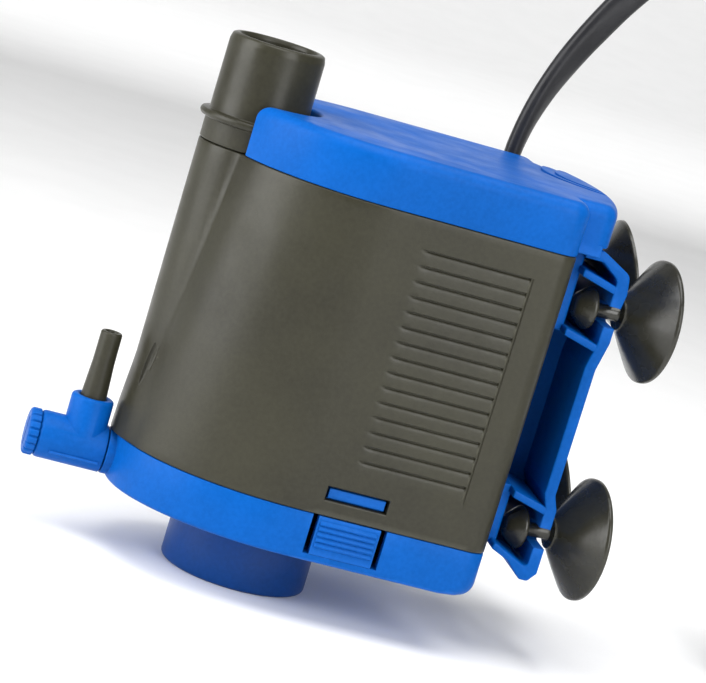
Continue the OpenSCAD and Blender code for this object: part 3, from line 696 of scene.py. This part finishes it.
def build_base():
    """Base cover with the volute walls, the collar for the air inlet and the latch slot."""
    outline = plan(REACH_LOW, columns=[6, 12, 18, 24, 30, 36])
    # the lower rim is rounder at the back
    rounding = np.array([1.0 + 2.4 * eased((x - 36) / 6) for x, y in outline])
    rings = []
    for k in range(8):
        a = math.pi / 2 * (7 - k) / 7
        edge = offset(outline, -rounding * (1 - math.cos(a)))
        rings.append([(x, y, BASE_BOTTOM + r * (1 - math.sin(a))) for (x, y), r in zip(edge, rounding)])
    rings.append([(x, y, 18) for x, y in outline])
    rings += rounded_rings(outline, BASE_SEAM - 0.1, 0.25, 0.25, True, 2)
    base = piece("base_shell", *loft(rings), BLUE, 40)
    collar = lathe(filleted([(0, 0), (PORT_R, 0, 0.2), (PORT_R, 1.4), (PORT_R + 0.9, 6), (0, 6)], 0, 3),
                   Matrix.Translation((-33, 0, PORT_Z)) @ ALONG_X)
    collar_piece = piece("collar", *collar, BLUE)
    combined(collar_piece, [box((-40, -10, BASE_SEAM - 0.1), (-20, 10, 30))], "DIFFERENCE")
    combined(base, [taken(collar_piece)], "UNION")
    hollow = stacked(inner_plan(REACH_LOW), ((BASE_FLOOR, 0), (BASE_SEAM + 1, 0)))
    latch_slot = box((LATCH_X[0] - LATCH_GAP, -HALF_DEPTH - 1, 15.05),
                     (LATCH_X[1] + LATCH_GAP, -HALF_DEPTH + 4.5, BASE_SEAM + 1))
    combined(base, [hollow, rod((-40, 0, PORT_Z), (-20, 0, PORT_Z), PORT_NECK_R + 0.05),
                    rod((0, 0, 10), (0, 0, 17), INTAKE_BORE_R), latch_slot], "DIFFERENCE")
    volute = piece("volute", *lathe([(13.6, 15.1), (15.1, 15.1), (15.1, 21.4), (13.6, 21.4)]), BLUE)
    combined(volute, [box((-16, -8.05, 15.5), (-9, 8.05, 22))], "DIFFERENCE")
    walls = [box((-27.5, side * 8.8 - 0.75, 15.2), (-13, side * 8.8 + 0.75, 21.35)) for side in (-1, 1)]
    combined(base, [taken(volute), *walls], "UNION")
    return stand_in(base, "pump_body", ["base_cover"])


def build_latch():
    """Springy tongue with five soft ribs for the thumb and the hook behind the window."""
    face = -HALF_DEPTH
    profile = [(face, 15.1), (face + 1.8, 15.1), (face + 1.8, 17.2), (face + 3.65, 17.2, 0.3),
               (face + 3.65, 30.4, 0.5), (face + 2.25, 30.4, 0.5), (face + 2.25, 29.15, 0.1),
               (face + 0.9, 29.0, 0.2), (face + 0.9, 26.95, 0.2), (face + 2.25, 26.95), (face + 2.25, 23.1),
               (face + 0.15, 23.2, 0.2), (face, 22.9, 0.2)]
    tongue = extrude(filleted(profile, 0, 3), LATCH_X[0], LATCH_X[1], "x")
    latch = piece("latch_tongue", *tongue, BLUE, 40)
    trims = [box((x - 0.6, y, z), (x + 0.6, face + 9, 31))
             for y, z in ((face + 1.9, 17), (face - 2, 24)) for x in LATCH_X]
    combined(latch, trims, "DIFFERENCE")
    ribs = []
    for i in range(5):
        z = 17.2 + i * 1.15
        outline = [(face + 0.3, z - 0.5), (face - 0.05, z - 0.5), (face - 0.36, z - 0.3),
                   (face - 0.44, z - 0.1), (face - 0.36, z + 0.14), (face - 0.05, z + 0.5),
                   (face + 0.3, z + 0.5)]
        ribs.append(extrude(outline, LATCH_X[0] + 0.5, LATCH_X[1] - 0.5, "x", 0.12, 2))
    combined(latch, ribs, "UNION")
    return stand_in(latch, "latch", ["base_latch"])


# ---------------------------------------------------------------- intake, outlet, air injection
def build_spigot():
    """Wide intake ring that plugs into the base."""
    profile = filleted([(13, 0, 0.5), (15.5, 0, 0.9), (15.5, 13.3, 0.15), (11, 13.3), (11, 15.4, 0.3),
                        (9, 15.4, 0.3), (9, 11.4, 0.5), (13, 11.4, 0.6)])
    # the darker blue of the spigot is painted shade, not a different plastic
    spigot = piece("spigot_shell", *lathe(profile, steps=128), SHADED_BLUE, 40)
    return stand_in(spigot, "intake", ["intake_spigot"])


def build_strainer():
    """Disc inside the intake, with a row of slots on either side of a middle bar."""
    disc = piece("strainer_disc", *lathe(filleted([(0, 7), (12.94, 7, 0.25), (12.94, 8.6, 0.25), (0, 8.6)])),
                 BLACK)
    slots = []
    for x in range(-9, 10, 3):
        length = math.sqrt(132 - x * x)
        for side in (-1, 1):
            y0, y1 = sorted((side * 0.7, side * (0.7 + length - 1.2)))
            outline = filleted([(x - 0.9, y0), (x + 0.9, y0), (x + 0.9, y1), (x - 0.9, y1)], 0.8)
            slots.append(stacked(outline, ((6, 0), (10, 0))))
    combined(disc, slots, "DIFFERENCE")
    return stand_in(disc, "intake", ["intake_strainer"])


def build_nozzle():
    """Outlet tube with the bead it is pulled by."""
    bead = 92.2
    profile = filleted([(8, 80.6), (9.15, 80.6, 0.2), (9.15, 86.8), (10.4, 86.8, 0.25),
                        (10.4, bead - 1.0, 0.15), (11.5, bead - 0.75, 0.5), (11.85, bead, 0.6),
                        (11.5, bead + 0.7, 0.4), (10.05, bead + 0.85, 0.3), (10, 107.6, 2.5),
                        (9.65, 108.9, 0.5), (9.0, 109.2, 0.25), (8.35, 109.2, 0.3), (8, 108.4, 0.5)], 0, 5)
    nozzle = piece("outlet_tube", *lathe(profile, RISER, 128), BODY, 50)
    return stand_in(nozzle, "nozzle", ["outlet_nozzle"])


TUBE_END, BOSS_X, BOSS_R, BOSS_TOP = -47.4, -38.2, 4.45, 29.0
BOSS = Matrix.Translation((BOSS_X, 0, 0))
AIR_BORE_R = 1.25


def build_air_inlet():
    """Venturi tube with its upright boss, and the air nipple that stands in the boss."""
    tube = lathe(filleted([(0, 0), (PORT_R, 0, 0.9), (PORT_R, 14.1, 0.2), (PORT_NECK_R, 14.1),
                           (PORT_NECK_R, 19.4), (0, 19.4)]),
                 Matrix.Translation((TUBE_END, 0, PORT_Z)) @ ALONG_X)
    boss = lathe(filleted([(0, PORT_Z), (BOSS_R, PORT_Z), (BOSS_R, BOSS_TOP, 0.9), (2.9, BOSS_TOP, 0.6),
                           (2.76, 26), (0, 26)]), BOSS)
    inlet = piece("air_inlet_tube", *tube, BLUE, 40)
    combined(inlet, [boss], "UNION")
    # a low rail moulded along each side
    for y in (-4.62, 4.62):
        combined(inlet, [rod((-44.5, y, 16.4), (-34.2, y, 16.4), 0.28, steps=12)], "UNION")
    combined(inlet, [rod((TUBE_END + 3, 0, PORT_Z), (-20, 0, PORT_Z), 2),
                     rod((BOSS_X, 0, PORT_Z), (BOSS_X, 0, 40), AIR_BORE_R),
                     rod((TUBE_END - 1, 0, PORT_Z), (TUBE_END + 3.1, 0, PORT_Z), 1.55)], "DIFFERENCE")
    stand_in(inlet, "air_inlet", ["venturi_tube"])
    profile = filleted([(AIR_BORE_R, 26.05), (2.72, 26.05), (2.7, 29), (2.3, 36.5, 9), (2.25, 42.6, 0.3),
                        (2.0, 43, 0.2), (1.45, 43, 0.15), (AIR_BORE_R, 42.6, 0.2)])
    nipple = piece("air_nipple_tube", *lathe(profile, BOSS, 64), BODY, 45)
    stand_in(nipple, "air_inlet", ["air_nipple"])


def build_knob():
    """Regulator dial with grip notches round its edge and a screwdriver slot."""
    notches, per_notch, notch_half, notch_depth = 18, 12, 0.22, 0.42
    outline = []
    for k in range(notches * per_notch):
        phase = (k % per_notch) / per_notch
        r = PORT_R - 0.02 - notch_depth * eased(1 - abs(phase - 0.5) / notch_half)
        a = 2 * math.pi * k / (notches * per_notch)
        outline.append((r * math.cos(a), r * math.sin(a)))
    rings = [[(x * share, y * share, z) for x, y in outline]
             for z, share in ((0.0, 0.85), (0.08, 0.91), (0.3, 0.97), (0.6, 1), (2.05, 1), (2.2, 0.97))]
    points, faces = loft(rings)
    place = Matrix.Translation((TUBE_END - 2.3, 0, PORT_Z)) @ ALONG_X
    knob = piece("regulator_dial", [tuple(place @ Vector(p)) for p in points], faces, BLUE, 40)
    combined(knob, [rod((TUBE_END - 1, 0, PORT_Z), (TUBE_END + 1.8, 0, PORT_Z), 1.5, steps=48)], "UNION")
    slot = box((TUBE_END - 3, -0.5, PORT_Z - 3), (TUBE_END - 1.7, 0.5, PORT_Z + 3))
    combined(knob, [slot], "DIFFERENCE")
    return stand_in(knob, "air_regulator", ["regulator_knob"])


def build_gland():
    """Ribbed sleeve round the cord, with an arm through the cap's side."""
    profile = filleted([(0, 86.6), (4.1, 86.6, 0.4), (4.1, 88.6, 0.2), (3.85, 89.1, 0.2), (4.0, 89.5, 0.2),
                        (3.8, 91.4, 0.2), (3.6, 91.8, 0.2), (3.78, 92.2, 0.2), (3.68, 94.4, 0.3),
                        (3.5, 95.35, 0.3), (0, 95.35)], 0, 3)
    sleeve = lathe(profile, Matrix.Translation((*CORD_EXIT[:2], 0)), 72)
    gland = piece("cord_sleeve", *sleeve, BLACK, 40)
    arm = rod((GLAND_X, 26.5, GLAND_Z), (GLAND_X, 33.4, GLAND_Z), GLAND_ARM_R, steps=48)
    combined(gland, [arm], "UNION")
    return stand_in(gland, "pump_body", ["cord_gland"])


# ---------------------------------------------------------------- bracket and cups
BRACKET_HALF, RIB_Z = 21.0, (83.2, 70.6, 35.4)
# lowest and highest z of the two shoes that run on the housing's rails
SHOES, SHOE_HALF, SHOE_RIM = ((69.8, 88.4), (23.4, 36.2)), 16.8, 0.3
WEB_HALF = 1
SLOT_Z, SLOT_HALF = (27.7, 75.7), 2.2
CUP_X, CUP_Y, CUP_R = 56.15, 14.5, 12.9
CUP_DEPTH, CUP_FLARE, CUP_WALL, CONE_R, CONE_START = 7.3, 1.1, 1.5, 3, 3.4


def build_bracket():
    """Frame on two shoes, with a middle web, ribs and a slot for each cup's neck."""
    profile = [(47, 88.4, 0.6), (50.6, 88.4, 2.0), (57.2, 84.9, 2.0), (57.8, 81, 2.0), (57.4, 78),
               (57.4, 70.4, 1.5), (56.2, 64.4, 3.0), (56.2, 37, 2.0), (57.4, 34, 1.5), (57.4, 20.2, 0.8),
               (55.8, 18.2, 0.8), (54, 18.2, 0.8), (50.6, 21.4, 1.5), (46.4, 23.2, 0.5), (46.8, 24.6, 0.5),
               (54.9, 20.9, 0.8), (54.9, 34, 1.0), (53.8, 37, 1.0), (53.8, 64.4, 2.0), (54.9, 70.4, 1.5),
               (54.9, 83.4, 1.5), (51, 86.2, 1.0), (47, 86.2)]
    bracket = piece("bracket_frame", *extrude(filleted(profile), -BRACKET_HALF, BRACKET_HALF, "y", 0.35),
                    BLUE, 40)
    additions = []
    for z in RIB_Z:
        rib = [(47.6, z + 0.8, 0.3), (55.2, z - 1.2), (55.2, z - 2.8), (47.6, z - 0.8, 0.3)]
        additions.append(extrude(filleted(rib, 0, 3), -BRACKET_HALF + 0.05, BRACKET_HALF - 0.05, "y", 0.3))
    shoe = filleted([(44, -SHOE_HALF, 0.4), (48.2, -SHOE_HALF, 0.8), (48.2, SHOE_HALF, 0.8),
                     (44, SHOE_HALF, 0.4)], 0, 3)
    for low, high in SHOES:
        additions.append(stacked(shoe, ((low, SHOE_RIM), (low + SHOE_RIM, 0), (high - SHOE_RIM, 0),
                                        (high, SHOE_RIM))))
    web = [(44.4, 34), (55.2, 34), (55.2, 72), (44.4, 72)]
    additions.append(extrude(web, -WEB_HALF, WEB_HALF))
    combined(bracket, additions, "UNION")
    cuts = []
    for low, high in SHOES:
        for y in (-RAIL_Y, RAIL_Y):
            cuts.append(box((43.5, y - 1.8, low - 1), (45.5, y + 1.8, high + 1)))
            cuts.append(box((44.7, y - 3.3, low - 1), (46.9, y + 3.3, high + 1)))
    for z in SLOT_Z:
        for side in (-1, 1):
            centre = side * (CUP_Y - 0.5)
            arc = [(centre - side * SLOT_HALF * math.cos(a), z - SLOT_HALF * math.sin(a))
                   for a in np.linspace(-math.pi / 2, math.pi / 2, 13)]
            outline = [*arc, (side * 23, z - SLOT_HALF), (side * 23, z + SLOT_HALF)]
            cuts.append(extrude(outline, 53.0, 60, "x"))
    combined(bracket, cuts, "DIFFERENCE")
    return stand_in(bracket, "bracket", ["bracket"])


def build_cup(name, y, z, yaw, tilt):
    """Mushroom head, neck through the slot, collar and a cone that thins towards its rim."""
    head = [(0, -7.5), (0.9, -7.48), (1.6, -7.4), (2.15, -7.15), (2.6, -6.75), (3.3, -5.9), (4.1, -4.85),
            (4.42, -4.4), (4.5, -4.1), (4.5, -3.75), (4.38, -3.5), (4.1, -3.4), (2.1, -3.4), (1.65, -3.15),
            (1.5, -2.7), (1.5, 2.2), (1.7, 2.7), (2.3, 2.85), (3.1, 2.9), (3.3, 3.0), (3.3, 3.3), (3.25, 3.4)]
    outer, inner = [], []
    for k in range(1, 25):
        t = k / 24
        r = CONE_R + (CUP_R - CONE_R) * t
        flare = CUP_DEPTH * t ** CUP_FLARE
        outer.append((r, CONE_START + flare))
        inner.append((r, CONE_START + CUP_WALL * (1 - 0.55 * t) + flare))
    rim = [(CUP_R + 0.02, 10.9), (CUP_R, 11.2)]
    profile = [*head, *outer, *rim, *inner[::-1], (1.5, 4.95), (0, 4.9)]
    turn = Matrix.Rotation(math.radians(yaw), 4, "Z") @ Matrix.Rotation(math.radians(90 - tilt), 4, "Y")
    cup = piece(name + "_rubber", *lathe(profile, Matrix.Translation((CUP_X, y, z)) @ turn), CUP, 50)
    return stand_in(cup, name.replace("suction_", ""), [name])


build_housing()
build_cap()
build_base()
build_latch()
build_spigot()
build_strainer()
build_nozzle()
build_air_inlet()
build_knob()
build_gland()
build_bracket()
for side, y, yaw, tilt in (("near", -CUP_Y, 9, 1), ("far", CUP_Y, 0, 18)):
    for row, z in (("bottom", SLOT_Z[0]), ("top", SLOT_Z[1])):
        build_cup(f"suction_cup_{side}_{row}", y, z, yaw, tilt)


# ---------------------------------------------------------------- parts kept from the CAD
KEPT = {"base_seal": SEAL, "rotor_can": BLACK, "rotor_magnet": FERRITE, "impeller": WHITE,
        "rotor_shaft": CERAMIC, "lower_bush": SEAL, "upper_bush": SEAL, "stator_core": STEEL,
        "bobbin_near": WHITE, "bobbin_far": WHITE, "winding_near": COPPER, "winding_far": COPPER,
        "thermal_fuse": FUSE, "wire_splices": FUSE, "potting_layer": POTTING}
for node, finish in KEPT.items():
    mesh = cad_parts[node].data
    mesh.materials.clear()
    mesh.materials.append(finish)


# ---------------------------------------------------------------- studio
def sweep():
    """Pale floor just below the pump that curves up far behind it."""
    front, bend, radius, top, half_width = -4000, 1500, 900, 6000, 6000
    curve = [(bend + radius * math.sin(a), radius - radius * math.cos(a))
             for a in np.linspace(0.1, math.pi / 2, 12)]
    rows = [(front, 0), (bend, 0), *curve, (bend + radius, top)]
    points = [(x, y, z - 0.02) for y, z in rows for x in (-half_width, half_width)]
    faces = [(2 * k, 2 * k + 1, 2 * k + 3, 2 * k + 2) for k in range(len(rows) - 1)]
    pale = material("studio_floor", (0.93, 0.93, 0.93), (0.91, 0.91, 0.91), 0.8, grain=0.05, edge=0)
    made = piece("studio_sweep", points, faces, pale)


def area_light(name, place, away, size, watts):
    """Area light at a place, shining against the direction away."""
    light = bpy.data.lights.new(name, "AREA")
    light.shape, light.size, light.size_y = "RECTANGLE", size[0] * MM, size[1] * MM
    light.energy = watts
    made = bpy.data.objects.new(name, light)
    made.location = place * MM
    made.rotation_mode = "QUATERNION"
    made.rotation_quaternion = away.to_track_quat("Z", "Y")
    scene.collection.objects.link(made)


def softbox(name, azimuth, elevation, distance, size, watts):
    """Area light that faces the pump from a direction seen from the target."""
    a, e = math.radians(azimuth), math.radians(elevation)
    away = Vector((math.sin(a) * math.cos(e), -math.cos(a) * math.cos(e), math.sin(e)))
    area_light(name, TARGET + away * distance, away, size, watts)


sweep()
softbox("left_box", -80, 12, 600, (420, 800), 6)
softbox("right_box", 24, 22, 800, (320, 600), 4)
softbox("top_box", 0, 80, 800, (700, 700), 7)
area_light("backdrop_box", Vector((0, 900, 750)), Vector((0, -1, 0.15)), (3000, 1000), 17)
world = bpy.data.worlds.new("studio")
world.use_nodes = True
world.node_tree.nodes["Background"].inputs["Color"].default_value = (1, 1, 1, 1)
world.node_tree.nodes["Background"].inputs["Strength"].default_value = 0.28
scene.world = world
scene.view_settings.view_transform = "Standard"
scene.view_settings.look = "None"
